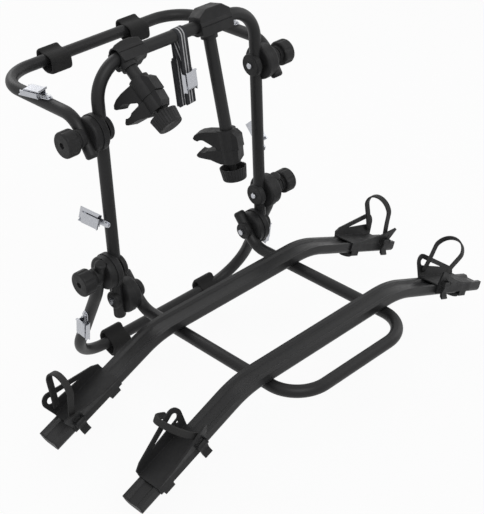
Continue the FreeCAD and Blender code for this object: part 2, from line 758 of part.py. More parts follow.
def lock_knob():
    """Finger wheel under the cradle that locks it on the rail."""
    top = UNDER_RAIL - CRADLE_WALL - RUNNING_GAP
    low = top - LOCK_H
    disc = rounded_end(cylinder(LOCK_R, V(0, 0, low), V(0, 0, top)), V(0, 0, low), LOCK_ROUND)
    stem = cylinder(SCREW_R, V(0, 0, low), V(0, 0, top + LOCK_STEM))
    return fuse_all([disc, stem])


def arm_place(shape, x, angle):
    """Carry a shape drawn with Z along the arm to the top tube."""
    along = V(0, -sine(angle), -cosine(angle))
    return placed(shape, V(x, 0, MAIN_TOP_Z), X_AXIS, along)


def bracket_dome(dome_top, left, right):
    """Bulge of the upper shell, sloping down to both ends."""
    half = DOME_HALF
    outline = [(left, 0), (left, -DOME_SHOULDER), (left + DOME_SLOPE, -dome_top),
               (right - DOME_SLOPE, -dome_top), (right, -DOME_SHOULDER), (right, 0)]
    dome = prism([V(x, -half, z) for x, z in outline], V(0, 2 * half, 0))
    dome = soft_edges(dome, DOME_ROUND, Y_AXIS, half)
    rims = [e for e in dome.Edges if abs(abs(e.CenterOfMass.y) - half) < 0.01 and e.CenterOfMass.z < -DOME_ROUND
            and e.BoundBox.XLength > 1]
    return dome.makeFillet(DOME_SOFT, rims)


def bend_relief(start, end):
    """Flared bore over the first part of the top tube's bend, run out past the bracket."""
    past = end + math.copysign(RELIEF_OVERRUN, end - start)
    turn = math.asin(abs(past - start) / MAIN_BEND_R)
    radius = MAIN_BEND_R * (1 - math.cos(turn)) + TUBE_R / math.cos(turn) + RUNNING_GAP
    return cone(TUBE_R + RUNNING_GAP, radius, V(start, 0, 0), V(past, 0, 0))


def arm_bracket(x, span, dome_top):
    """Clamp shells on the top tube, with the socket that holds the arm."""
    left, right = span
    ring = cylinder(BRACKET_R, V(left, 0, 0), V(right, 0, 0))
    flange = block(V(left, -BRACKET_R, 0), V(right, BRACKET_R, BRACKET_R))
    flange = soft_edges(flange, BRACKET_ROUND, Y_AXIS, BRACKET_R)
    socket = cylinder(SOCKET_R, V(0, 0, 0), V(0, 0, SOCKET_END))
    body = fuse_all([ring, bracket_dome(dome_top, left, right), flange, socket])
    bores = [cylinder(TUBE_R + RUNNING_GAP, V(left - RELIEF_OVERRUN, 0, 0), V(right + RELIEF_OVERRUN, 0, 0))]
    straight = LEG_X - MAIN_BEND_R
    if x + left < -straight:
        bores.append(bend_relief(-straight - x, left))
    if x + right > straight:
        bores.append(bend_relief(straight - x, right))
    seam = block(V(left, -BRACKET_R, -SHELL_SPLIT), V(right, BRACKET_R, SHELL_SPLIT))
    seam = seam.cut(cylinder(BRACKET_R - SEAM_DEPTH, V(left, 0, 0), V(right, 0, 0)))
    slit = block(V(SOCKET_R + SEAM_DEPTH, -BRACKET_R, TUBE_R), V(right, -TUBE_R + SEAM_DEPTH, TUBE_R + SEAM_DEPTH))
    arm_hole = cylinder(TUBE_R, V(0, 0, TUBE_START), V(0, 0, SOCKET_END))
    return body.cut(seam).cut(slit).cut(arm_hole).cut(fuse_all(bores))


def arm_post(knob_z):
    """Arm tube with the clamp screw fixed in its far end."""
    end = knob_z - POST_END
    tube = cylinder(TUBE_R, V(0, 0, TUBE_START), V(0, 0, end))
    tube = tube.cut(cylinder(TUBE_BORE_R, V(0, 0, TUBE_START), V(0, 0, end - POST_FLOOR)))
    screw = cylinder(SCREW_R, V(0, 0, end - POST_FLOOR), V(0, 0, knob_z + SCREW_END))
    return fuse_all([tube, screw])


def jaw_prism(points, knob_z):
    half = JAW_HALF_WIDTH
    return prism([V(n, -half, knob_z + s) for n, s in points], V(0, 2 * half, 0))


def jaw_mouth(knob_z):
    """Space between the jaws: round for a bike frame tube, narrowing to its root."""
    half = JAW_HALF_WIDTH
    seat = cylinder(MOUTH_R, V(MOUTH_N, -half, knob_z + MOUTH_S), V(MOUTH_N, half, knob_z + MOUTH_S))
    root_s = -HEAD_SEAM - RUNNING_GAP - 2 * MOUTH_ROOT_R / 3
    root = cylinder(MOUTH_ROOT_R, V(MOUTH_ROOT, -half, knob_z + root_s), V(MOUTH_ROOT, half, knob_z + root_s))
    wedge = [(MOUTH_ROOT, root_s - MOUTH_ROOT_R), (MOUTH_N - MOUTH_R / 2, MOUTH_S - MOUTH_R * cosine(30)),
             (MOUTH_N, MOUTH_S), (MOUTH_N - MOUTH_R * cosine(50), MOUTH_S + MOUTH_R * sine(50)),
             (MOUTH_ROOT, root_s + MOUTH_ROOT_R)]
    return fuse_all([seat, root, jaw_prism(wedge, knob_z)])


def soft_edges(shape, radius, axis, limit):
    """Round the edges that run along an axis."""
    picked = []
    for edge in shape.Edges:
        if edge.Curve.TypeId == "Part::GeomLine":
            direction = edge.tangentAt(edge.FirstParameter)
            if abs(direction.dot(axis)) > 0.99 and edge.Length > limit:
                picked.append(edge)
    return shape.makeFillet(radius, picked)


def clamp_head(knob_z):
    """Fixed head with the upper hooked jaw."""
    points = [(-20.0, -101.0), (44.0, -104.0), (62.0, -102.0), (74.0, -97.0), (79.0, -90.0), (76.0, -85.5),
              (69.0, -82.5), (MOUTH_N, MOUTH_S), (44.0, -HEAD_SEAM), (-30.0, -HEAD_SEAM), (-30.0, -90.0)]
    body = soft_edges(jaw_prism(points, knob_z), JAW_ROUND, Y_AXIS, JAW_HALF_WIDTH)
    collar = cylinder(HEAD_COLLAR_R, V(0, 0, knob_z - HEAD_TOP - COLLAR_RISE), V(0, 0, knob_z - HEAD_SEAM))
    bore = cylinder(TUBE_R + RUNNING_GAP, V(0, 0, 0), V(0, 0, knob_z))
    return fuse_all([body, collar]).cut(bore).cut(jaw_mouth(knob_z))


def clamp_jaw(knob_z):
    """Moving lower jaw that slides on the arm."""
    seam = -HEAD_SEAM + RUNNING_GAP
    points = [(-27.0, seam), (MOUTH_N, seam), (69.0, -58.0), (76.0, -51.5), (77.0, -47.5), (72.0, -43.5),
              (60.0, -40.5), (44.0, -37.0), (30.0, -30.0), (20.0, -JAW_BOTTOM), (-17.0, -JAW_BOTTOM),
              (-25.0, -36.0)]
    body = soft_edges(jaw_prism(points, knob_z), JAW_ROUND, Y_AXIS, JAW_HALF_WIDTH)
    above = block(V(-200, -JAW_HALF_WIDTH, 0), V(200, JAW_HALF_WIDTH, knob_z + seam))
    barrel = cylinder(JAW_BARREL_R, V(0, 0, knob_z + seam), V(0, 0, knob_z - JAW_BOTTOM))
    body = fuse_all([body.cut(above), barrel]).cut(jaw_mouth(knob_z))
    body = body.cut(cylinder(TUBE_R + RUNNING_GAP, V(0, 0, 0), V(0, 0, knob_z - POST_END + RUNNING_GAP)))
    return body.cut(cylinder(SCREW_R + PIN_CLEARANCE, V(0, 0, 0), V(0, 0, knob_z)))


def cup_knob(knob_z):
    """Open cup knob on the clamp screw."""
    top = knob_z - CUP_H / 2
    bottom = knob_z + CUP_H / 2
    outer = cone(CUP_R, CUP_R - 4, V(0, 0, top), V(0, 0, bottom))
    outer = outer.makeFillet(3.0, [e for e in outer.Edges if e.CenterOfMass.z > bottom - 0.1
                                   and e.Curve.TypeId == "Part::GeomCircle"])
    inner = cone(CUP_R - CUP_WALL, CUP_R - 4 - CUP_WALL, V(0, 0, top - 1), V(0, 0, bottom - CUP_WALL))
    flutes = []
    for index in range(CUP_FLUTES):
        angle = 360.0 * index / CUP_FLUTES
        foot = V((CUP_R + 0.4) * cosine(angle), (CUP_R + 0.4) * sine(angle), top - 1)
        head = V((CUP_R - 3.6) * cosine(angle), (CUP_R - 3.6) * sine(angle), bottom + 1)
        flutes.append(cylinder(1.4, foot, head))
    body = outer.cut(inner).cut(group(flutes))
    hub = cylinder(CUP_HUB_R, V(0, 0, knob_z - JAW_BOTTOM + RUNNING_GAP), V(0, 0, bottom - 1))
    bore = cylinder(SCREW_R + PIN_CLEARANCE, V(0, 0, 0), V(0, 0, knob_z + SCREW_END + 0.5))
    return fuse_all([body, hub]).cut(bore)


def buckle_body():
    """Bent sheet channel of a cam buckle with its pin."""
    half = BUCKLE_WIDTH / 2
    parts = [block(V(CHEEK_START - BUCKLE_LAP, -half, 0), V(BUCKLE_LENGTH, half, BUCKLE_SHEET))]
    for sign in (-1, 1):
        low = min(sign * half, sign * (half - BUCKLE_SHEET))
        parts.append(block(V(CHEEK_START, low, 0), V(BUCKLE_LENGTH - CHEEK_SHORT, low + BUCKLE_SHEET, BUCKLE_CHEEK)))
    parts.append(cylinder(CAM_PIN_R, V(CAM_X, -half, CAM_Z), V(CAM_X, half, CAM_Z)))
    return fuse_all(parts)


def buckle_frame():
    """Buckle channel with the eye that takes its bolt."""
    eye = cylinder(BUCKLE_EYE_R, V(0, 0, 0), V(0, 0, BUCKLE_SHEET))
    neck = block(V(0, -BUCKLE_EYE_R, 0), V(CHEEK_START, BUCKLE_EYE_R, BUCKLE_SHEET))
    body = fuse_all([eye, neck, buckle_body()])
    return body.cut(cylinder(BUCKLE_BOLT_R + PIN_CLEARANCE, V(0, 0, 0), V(0, 0, BUCKLE_SHEET)))


def buckle_lever():
    """Cam lever of a buckle, closed over the frame."""
    half = BUCKLE_WIDTH / 2 - BUCKLE_SHEET - RUNNING_GAP
    cam = cylinder(CAM_R, V(CAM_X, -half, CAM_Z), V(CAM_X, half, CAM_Z))
    low = CAM_Z + CAM_R - LEVER_THICK
    thumb = block(V(CHEEK_START - BUCKLE_LAP, -half, low), V(CAM_X, half, CAM_Z + CAM_R))
    lip = block(V(CHEEK_START - BUCKLE_LAP - LEVER_THICK, -half, low),
                V(CHEEK_START - BUCKLE_LAP, half, CAM_Z + CAM_R + LEVER_THICK))
    body = fuse_all([cam, thumb, lip])
    return body.cut(cylinder(CAM_PIN_R + PIN_CLEARANCE, V(CAM_X, -half, CAM_Z), V(CAM_X, half, CAM_Z)))


def buckle_bolt():
    """Bolt through the buckle's eye and the near tube wall."""
    head = cylinder(BUCKLE_HEAD_R, V(0, 0, BUCKLE_SHEET), V(0, 0, BUCKLE_SHEET + BUCKLE_HEAD_H))
    shank = cylinder(BUCKLE_BOLT_R, V(0, 0, -2 * TUBE_WALL), V(0, 0, BUCKLE_SHEET))
    return fuse_all([head, shank])


def bolt_eye():
    """Hole for a buckle bolt in the tube wall under it."""
    return cylinder(BUCKLE_BOLT_R + PIN_CLEARANCE, V(0, 0, -3 * TUBE_WALL), V(0, 0, TUBE_WALL))


def upper_buckle_place(shape, side):
    """On top of a side arm; the left one swung outwards on its bolt."""
    swing = UPPER_BUCKLE_SWING[side]
    along = V(-sine(swing), cosine(swing), 0)
    level = UPPER_HUB_Z + UPPER_RISE + TUBE_R
    return left_or_right(placed(shape, V(-ARM_X, UPPER_BUCKLE_Y, level), along, Z_AXIS), side)


def main_buckle_place(shape, side):
    """On the outer face of a leg."""
    lift = MAIN_BUCKLE_LIFT[side]
    swing = MAIN_BUCKLE_SWING[side]
    outward = V(-cosine(swing), -sine(swing), 0)
    level = V(-sine(swing), cosine(swing), 0)
    along = level.multiply(cosine(lift)).add(V(0, 0, sine(lift)))
    origin = V(-LEG_X, 0, MAIN_BUCKLE_Z).add(V(outward).multiply(TUBE_R))
    return left_or_right(placed(shape, origin, along, outward), side)


def lower_buckle_place(shape, side):
    """On the outer face of a lower side arm, hanging down."""
    kink = lower_frame_points()[1]
    arm = V(0, sine(LOWER_ANGLE), -cosine(LOWER_ANGLE))
    hang = LOWER_ANGLE + LOWER_BUCKLE_SWING
    along = V(0, sine(hang), -cosine(hang))
    origin = kink.add(V(arm).multiply(LOWER_BUCKLE_RUN)).add(V(-TUBE_R, 0, 0))
    return left_or_right(placed(shape, origin, along, V(-1, 0, 0)), side)


def left_or_right(left_shape, side):
    if side == 0:
        return left_shape
    return mirrored_x(left_shape)


def webbing(route):
    """Band of webbing along points given as y and z, leaning with the strap."""
    band = ribbon([V(0, y, z) for y, z in route], WEBBING_THICK, X_AXIS, WEBBING_WIDTH)
    return turned(band, V(0, 0, MAIN_TOP_Z), Y_AXIS, WEBBING_TILT)


def half_turn(y, z, radius, upward):
    """Points of a fold in webbing, from the near strand to the far one."""
    sign = 1 if upward else -1
    points = []
    for index in range(1, FOLD_STEPS):
        angle = 180.0 * index / FOLD_STEPS
        points.append((y + radius - radius * cosine(angle), z + sign * radius * sine(angle)))
    return points


def strap_loop():
    """Webbing over the top tube, down through the buckle and up from its lower loop."""
    z = MAIN_TOP_Z
    half = WEBBING_WIDTH / 2
    outer = cylinder(TUBE_R + WEBBING_THICK, V(-half, 0, z), V(half, 0, z))
    upper_half = block(V(-half, -2 * TUBE_R, z), V(half, 2 * TUBE_R, z + 2 * TUBE_R))
    over = outer.cut(cylinder(TUBE_R, V(-half, 0, z), V(half, 0, z))).common(upper_half)
    low = z - WEBBING_DROP
    front = [(-STRAND_Y, z), (-STRAND_Y, low)] + half_turn(-STRAND_Y, low, WEBBING_FOLD_R, False)
    front += [(-STRAND_Y + 2 * WEBBING_FOLD_R, low), (-STRAND_Y + 2 * WEBBING_FOLD_R, low + WEBBING_TAIL)]
    behind_plate = BUCKLE_BACK_Y + WEBBING_THICK
    back = [(STRAND_Y, z), (STRAND_Y, z - TUBE_R), (behind_plate, z - STRAP_BUCKLE_DROP - CHEEK_START / 2),
            (behind_plate, z - STRAP_BUCKLE_DROP - 2 * CHEEK_START)]
    return fuse_all([over, webbing(front), webbing(back)])


def strap_hank():
    """Spare webbing folded up and down into a flat hank behind the strap."""
    top = MAIN_TOP_Z - HANK_TOP
    bottom = MAIN_TOP_Z - HANK_BOTTOM
    pitch = WEBBING_THICK + HANK_GAP
    y = HANK_Y
    route = [(y, MAIN_TOP_Z - WEBBING_THICK)]
    for fold in range(HANK_FOLDS):
        upward = fold % 2 == 1
        route.append((y, top if upward else bottom))
        if fold < HANK_FOLDS - 1:
            route += half_turn(y, top if upward else bottom, pitch / 2, upward)
            route.append((y + pitch, top if upward else bottom))
        y += pitch
    return moved(webbing(route), V(HANK_X, 0, 0))


def strap_buckle_place(shape):
    origin = V(0, BUCKLE_BACK_Y, MAIN_TOP_Z - STRAP_BUCKLE_DROP)
    upright = placed(shape, origin, V(0, 0, -1), V(0, -1, 0))
    return turned(upright, V(0, 0, MAIN_TOP_Z), Y_AXIS, WEBBING_TILT)


SIDE_NAMES = ("left", "right")


def hub_grip(points, radii):
    """Space that a hub leaves for its tube and the plug in the tube's end."""
    outward = points[0].sub(points[1]).normalize()
    tip = cylinder(TUBE_R, points[0], points[0].add(V(outward).multiply(PLUG_LIP)))
    return group([round_bar(points, radii, TUBE_R), tip])


def frame_hubs(bar, hub_x, z, outward):
    """Turning discs and saddles of a moving frame, cut to its tube."""
    sign = 1 if outward else -1
    face = LEG_X + sign * (HUB_FACE + RUNNING_GAP / 2)
    disc = hub_disc(-1, hub_x - sign * SADDLE_INNER, face, ARM_DISC_R, z, bar)
    saddle = hub_saddle(-1, hub_x + sign * SADDLE_INNER, hub_x + sign * SADDLE_OUTER, ARM_SADDLE_R, z, bar)
    return group([disc, mirrored_x(disc), saddle, mirrored_x(saddle)])


def rest_frame_nodes(shapes, level, points, radii, hub_z, buckle_place):
    """Tube, plugs, hubs, buckles and their levers of an upper or lower rest frame."""
    holes = [bolt_hole(side, ARM_X - SADDLE_OUTER, ARM_X + SADDLE_OUTER, hub_z, PIN_CLEARANCE) for side in (-1, 1)]
    holes += [buckle_place(bolt_eye(), side) for side in (0, 1)]
    shapes[level + "_tube"] = frame_tube(points, radii, holes)
    shapes[level + "_plugs"] = frame_plugs(points)
    shapes[level + "_hubs"] = frame_hubs(hub_grip(points, radii), ARM_X, hub_z, True)
    buckles = []
    for side in (0, 1):
        buckles += [buckle_place(buckle_frame(), side), buckle_place(buckle_bolt(), side)]
        shapes[level + "_" + SIDE_NAMES[side] + "_lever"] = buckle_place(buckle_lever(), side)
        shapes[level + "_" + SIDE_NAMES[side] + "_knob"] = knob(2 * side - 1, hub_z)
    shapes[level + "_buckles"] = group(buckles)


def main_frame_nodes(shapes):
    points = main_frame_points()
    holes = []
    for side in (-1, 1):
        for z in (UPPER_HUB_Z, LOWER_HUB_Z, PLATFORM_HUB_Z):
            holes.append(bolt_hole(side, LEG_X - 20, LEG_X + 20, z, PIN_CLEARANCE))
    holes += [main_buckle_place(bolt_eye(), side) for side in (0, 1)]
    shapes["main_tube"] = frame_tube(points, [MAIN_BEND_R, MAIN_BEND_R], holes)
    shapes["main_plugs"] = frame_plugs(points)
    hubs = []
    bolts = []
    grip = leg_bar(-1)
    half_gap = RUNNING_GAP / 2
    for z in (UPPER_HUB_Z, LOWER_HUB_Z):
        disc = hub_disc(-1, LEG_X + SADDLE_INNER, LEG_X + HUB_FACE - half_gap, HUB_DISC_R, z, grip)
        saddle = hub_saddle(-1, LEG_X - SADDLE_INNER, LEG_X - SADDLE_OUTER, LEG_SADDLE_R, z, grip)
        hubs += [disc, mirrored_x(disc), saddle, mirrored_x(saddle)]
        bolts += [hub_bolt(-1, z), hub_bolt(1, z)]
    z = PLATFORM_HUB_Z
    disc = hub_disc(-1, LEG_X - SADDLE_INNER, LEG_X - HUB_FACE + half_gap, HUB_DISC_R, z, grip)
    saddle = hub_saddle(-1, LEG_X + SADDLE_INNER, LEG_X + SADDLE_OUTER, ARM_SADDLE_R, z, grip)
    hubs += [disc, mirrored_x(disc), saddle, mirrored_x(saddle)]
    bolts += [platform_bolt(-1), platform_bolt(1)]
    bolts += [main_buckle_place(buckle_bolt(), side) for side in (0, 1)]
    shapes["main_hubs"] = group(hubs)
    shapes["frame_bolts"] = group(bolts)
    shapes["main_buckles"] = group([main_buckle_place(buckle_frame(), side) for side in (0, 1)])
    for side in (0, 1):
        shapes["main_" + SIDE_NAMES[side] + "_lever"] = main_buckle_place(buckle_lever(), side)


def upper_frame_nodes(shapes):
    radii = [ARM_KINK_R, UPPER_CORNER_R, UPPER_CORNER_R, ARM_KINK_R]
    rest_frame_nodes(shapes, "upper", upper_frame_points(), radii, UPPER_HUB_Z, upper_buckle_place)
    level = UPPER_HUB_Z + UPPER_RISE
    shapes["upper_pads"] = group([rest_pad(x, UPPER_REACH, level, 0) for x in UPPER_PAD_X])


def lower_frame_nodes(shapes):
    points = lower_frame_points()
    radii = [LOWER_KINK_R, LOWER_CORNER_R, LOWER_CORNER_R, LOWER_KINK_R]
    rest_frame_nodes(shapes, "lower", points, radii, LOWER_HUB_Z, lower_buckle_place)
    corner = points[2]
    shapes["lower_pads"] = group([rest_pad(x, corner.y, corner.z, LOWER_PAD_TURN) for x in LOWER_PAD_X])


def platform_nodes(shapes):
    points = platform_points()
    radii = [ARM_KINK_R, PLATFORM_CORNER_R, PLATFORM_CORNER_R, ARM_KINK_R]
    near = PLATFORM_X - SADDLE_OUTER
    far = PLATFORM_X + SADDLE_OUTER
    holes = [bolt_hole(side, near, far, PLATFORM_HUB_Z, PIN_CLEARANCE) for side in (-1, 1)]
    bar = round_bar(points, radii, TUBE_R)
    shapes["platform_tube"] = frame_tube(points, radii, holes)
    shapes["platform_hubs"] = frame_hubs(hub_grip(points, radii), PLATFORM_X, PLATFORM_HUB_Z, False)
    shapes["rail_back"] = wheel_rail(RAIL_Y[0], bar)
    shapes["rail_front"] = wheel_rail(RAIL_Y[1], bar)
    caps = [frame_plugs(points)]
    for y in RAIL_Y:
        cap = rail_end_cap(y)
        caps += [cap, mirrored_x(cap, RAIL_SHIFT_X)]
    shapes["platform_caps"] = group(caps)


def cradle_nodes(shapes):
    """Four wheel cradles; their high ends are outside at the back rail, inside at the front."""
    ratchet_at = V(RATCHET_T, -RATCHET_Y, RATCHET_N)
    pivot = V(STRAP_PIVOT_T, 0, STRAP_PIVOT_N)
    cradle = fuse_all([wheel_cradle(), moved(ratchet_mount(), ratchet_at)])
    lever = moved(ratchet_lever(), ratchet_at)
    lock = moved(lock_knob(), V(LOCK_T, 0, 0))
    for rail_name, rail_y, high_outer in (("back", RAIL_Y[0], True), ("front", RAIL_Y[1], False)):
        for side_name, right in (("left", False), ("right", True)):
            name = rail_name + "_" + side_name
            strap = strap_flat() if name == TIGHT_STRAP else strap_arch()
            strap = turned(moved(strap, pivot), pivot, Y_AXIS, STRAP_LEAN[name])
            for kind, shape in (("cradle", cradle), ("strap", strap), ("ratchet", lever), ("lock", lock)):
                shape = flip_along(shape, high_outer)
                shapes[name + "_" + kind] = to_rail_end(shape, right, rail_y, CRADLE_SLIDE[name])


def arm_nodes(shapes):
    swing = 180.0 + JAW_AZIMUTH
    arms = (("arm1", ARM1_X, ARM1_ANGLE, ARM1_KNOB, ARM1_BRACKET, ARM1_DOME),
            ("arm2", ARM2_X, ARM2_ANGLE, ARM2_KNOB, ARM2_BRACKET, ARM2_DOME))
    for name, x, angle, knob_z, span, dome_top in arms:
        pieces = {"bracket": arm_bracket(x, span, dome_top), "post": arm_post(knob_z), "knob": cup_knob(knob_z),
                  "head": turned(clamp_head(knob_z), V(0, 0, 0), Z_AXIS, swing),
                  "jaw": turned(clamp_jaw(knob_z), V(0, 0, 0), Z_AXIS, swing)}
        for kind, shape in pieces.items():
            shapes[name + "_" + kind] = arm_place(shape, x, angle)


def hanging_strap_nodes(shapes):
    shapes["strap_webbing"] = strap_loop()
    shapes["strap_hank"] = strap_hank()
    shapes["strap_buckle"] = strap_buckle_place(buckle_body())
    shapes["strap_lever"] = strap_buckle_place(buckle_lever())


def all_nodes():
    shapes = {}
    main_frame_nodes(shapes)
    upper_frame_nodes(shapes)
    lower_frame_nodes(shapes)
    platform_nodes(shapes)
    cradle_nodes(shapes)
    arm_nodes(shapes)
    hanging_strap_nodes(shapes)
    return shapes


for node_name, node_shape in all_nodes().items():
    node_shape.exportStep("parts/" + node_name + ".step")
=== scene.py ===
import json
import math
import bmesh
import bpy
from mathutils import Matrix, Vector


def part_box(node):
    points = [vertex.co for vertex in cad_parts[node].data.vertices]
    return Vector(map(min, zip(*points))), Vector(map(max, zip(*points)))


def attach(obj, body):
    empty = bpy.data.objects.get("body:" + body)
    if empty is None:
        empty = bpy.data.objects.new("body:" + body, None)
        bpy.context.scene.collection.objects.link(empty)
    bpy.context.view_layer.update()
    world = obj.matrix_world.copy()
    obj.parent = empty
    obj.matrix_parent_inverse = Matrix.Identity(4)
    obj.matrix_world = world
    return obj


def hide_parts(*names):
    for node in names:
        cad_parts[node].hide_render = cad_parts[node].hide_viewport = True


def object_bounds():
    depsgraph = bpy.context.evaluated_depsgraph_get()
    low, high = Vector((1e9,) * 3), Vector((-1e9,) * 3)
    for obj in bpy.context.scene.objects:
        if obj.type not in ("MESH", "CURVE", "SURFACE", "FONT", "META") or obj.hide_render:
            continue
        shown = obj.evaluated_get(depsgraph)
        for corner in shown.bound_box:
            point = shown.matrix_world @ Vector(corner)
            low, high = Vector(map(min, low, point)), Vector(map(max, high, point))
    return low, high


# Looks of a strap-on bike carrier, in metres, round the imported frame.
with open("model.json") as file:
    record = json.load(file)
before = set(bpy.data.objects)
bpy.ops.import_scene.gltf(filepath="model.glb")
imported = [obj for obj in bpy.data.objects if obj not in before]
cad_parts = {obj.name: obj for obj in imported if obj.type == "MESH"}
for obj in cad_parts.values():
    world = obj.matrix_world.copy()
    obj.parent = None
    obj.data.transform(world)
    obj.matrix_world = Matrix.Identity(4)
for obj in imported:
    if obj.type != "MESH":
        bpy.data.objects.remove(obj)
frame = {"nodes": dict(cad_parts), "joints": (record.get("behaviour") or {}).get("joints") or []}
cad_low, cad_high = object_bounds()
JOINTS = {joint["name"]: joint for joint in frame["joints"]}

X_AXIS = Vector((1, 0, 0))
Y_AXIS = Vector((0, 1, 0))

# Shared sizes of the object
TUBE_R = 0.014
TOP_TUBE_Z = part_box("main_tube")[1].z - TUBE_R

# Safety strap webbing and the spare webbing folded behind it
WEBBING_WIDTH = 0.025
WEBBING_THICK = 0.0018
WEBBING_TILT = -5.0
WEBBING_LEAN = Matrix.Rotation(math.radians(WEBBING_TILT), 4, "Y")
WEBBING_DROP = 0.158
WEBBING_TAIL = 0.030
FOLD_R = 0.0025
STRAND_Y = TUBE_R + WEBBING_THICK / 2
BUCKLE_PLATE_Y = -0.0101
BUCKLE_DROP = 0.064
BUCKLE_RUN = 0.040
HANK_FOLDS = 4
HANK_PITCH = 0.0032
HANK_TOP = 0.062
HANK_BOTTOM = 0.176
HANK_Y = STRAND_Y + 0.0022
HANK_STRAIGHT = 0.006

# Routes of the webbing beside the top tube, as y and height about the tube's middle
STRAP_RISE = [(BUCKLE_PLATE_Y, -BUCKLE_DROP - BUCKLE_RUN), (BUCKLE_PLATE_Y, -0.086),
              (BUCKLE_PLATE_Y + 0.001, -0.074), (STRAND_Y - 0.008, -0.036), (STRAND_Y, -TUBE_R)]
STRAP_FALL = [(-STRAND_Y, -0.03), (-STRAND_Y, -0.08), (-STRAND_Y, -0.12), (-STRAND_Y, -WEBBING_DROP + 0.003)]
HANK_FALL = [(HANK_Y, -WEBBING_THICK), (HANK_Y, -0.04), (HANK_Y, -0.09)]

# Wheel straps: heights are above the pins, distances from the rail's middle
RAIL_DROOP = 22.5
STRAP_WIDTH = 0.016
STRAP_THICK = 0.004
STRAP_PIN_R = 0.003
STRAP_PIN_SIDES = 16
STRAP_LEG = 0.0272
STRAP_EYE = 0.0075
STRAP_PIN_END = 0.0352
STRAP_BOW = 0.036
STRAP_BOW_HEIGHT = 0.063
STRAP_BOW_START = 172
STRAP_BOW_END = 8
STRAP_LEAN = {"back_left": -20.4, "back_right": -20.4, "front_left": -40.0, "front_right": -31.8}
STRAP_FOOT = [(-STRAP_LEG, -STRAP_EYE), (-STRAP_LEG, 0.004)]
LOOSE_LEG = STRAP_FOOT + [(-0.0288, 0.020), (-0.0316, 0.040), (-0.0342, 0.055)]
TIGHT_STRAP = "front_left"
TIGHT_ROUTE = STRAP_FOOT + [(-STRAP_LEG + 0.001, 0.011), (-STRAP_LEG + 0.006, 0.020), (-0.008, 0.033),
                            (0.014, 0.043), (0.034, 0.0475), (0.048, 0.0465), (0.058, 0.040),
                            (0.0625, 0.026), (0.064, 0.004)]

# Rubber rests: outline about the tube as distance to the car and height
PAD_OUTLINE = [(0.020, 0.023), (0.008, 0.0155), (-0.014, 0.0155), (-0.031, 0.009), (-0.0335, -0.027),
               (0.0, -0.032), (0.030, -0.012), (0.030, 0.014)]
PAD_ROUNDS = 3
PAD_CORNER_CUT = 0.2
PAD_HALF = 0.027
PAD_HOLLOW = 0.021
UPPER_PAD_X = (-0.112, 0.118)
LOWER_PAD_X = (-0.138, 0.168)
LOWER_PAD_TURN = 24.0
# From the hollow's floor over the rim to the outside: place along the tube and share of the outline
PAD_RIM = [(PAD_HALF - PAD_HOLLOW, 0.76), (PAD_HALF - 0.0012, 0.80), (PAD_HALF - 0.0003, 0.825),
           (PAD_HALF, 0.86), (PAD_HALF, 0.93), (PAD_HALF - 0.0008, 0.97), (PAD_HALF - 0.003, 0.995),
           (PAD_HALF - 0.007, 1.0)]

# Bands: share of the thickness that rounds an edge, and how narrow a rounded end gets
BAND_ROUNDING = 0.45
BAND_END_WIDTH = 0.25

# Camera at the photograph's viewing angle
IMAGE_HEIGHT = 514
CAMERA_AZIMUTH = -42.9456
CAMERA_ELEVATION = 32.3364
CAMERA_ROLL = -2.2738
CAMERA_FOCAL_PX = 1251.2
CAMERA_ASIDE = -0.119148
CAMERA_ABOVE = 0.0664817
CAMERA_AWAY = 2.896344
CAMERA_CLIP = (0.05, 60.0)
SENSOR = 36.0

# Light: lamps as name, place, size and power
LAMPS = (("key", (-1.6, -2.4, 3.0), 2.2, 60.0), ("fill", (2.8, -1.2, 1.4), 2.5, 20.0),
         ("rim", (0.5, 3.0, 2.4), 2.0, 30.0))
WORLD_LIGHT = 0.45
FLOOR_DROP = 0.03
FLOOR_HALF = 40.0
FLOOR_COLOUR = (0.86, 0.86, 0.87, 1)
FLOOR_GLOW = 0.92

# Colours that a surface drifts between, and those of its worn edges
COAT_TONES = ((0.009, 0.009, 0.0095), (0.015, 0.015, 0.0155))
COAT_WORN = (0.055, 0.055, 0.057)
PLASTIC_TONES = ((0.010, 0.010, 0.0105), (0.018, 0.018, 0.0185))
PLASTIC_WORN = (0.045, 0.045, 0.047)
PAD_TONES = ((0.009, 0.009, 0.0095), (0.018, 0.0178, 0.0175))
STRAP_TONES = ((0.014, 0.014, 0.0145), (0.027, 0.0265, 0.026))
ZINC_TONES = ((0.40, 0.41, 0.44), (0.54, 0.55, 0.58))
WEAVE_TONES = ((0.016, 0.0165, 0.019), (0.032, 0.033, 0.037))
LINE_TONES = ((0.36, 0.36, 0.37), (0.50, 0.50, 0.51))

# Span that a noise is read over
NOISE_LOW = 0.3
NOISE_HIGH = 0.7

# Strap teeth and webbing threads, counted per width; places across run from 0 to 1
TEETH = 4.0
TEETH_HALF = 0.26
TEETH_FADE = 0.32
LINE_MIDDLES = (0.36, 0.64)
LINE_HALF = 0.055
WARP_THREADS = 9
WEFT_THREADS = 12
WEFT_SLANT = 5


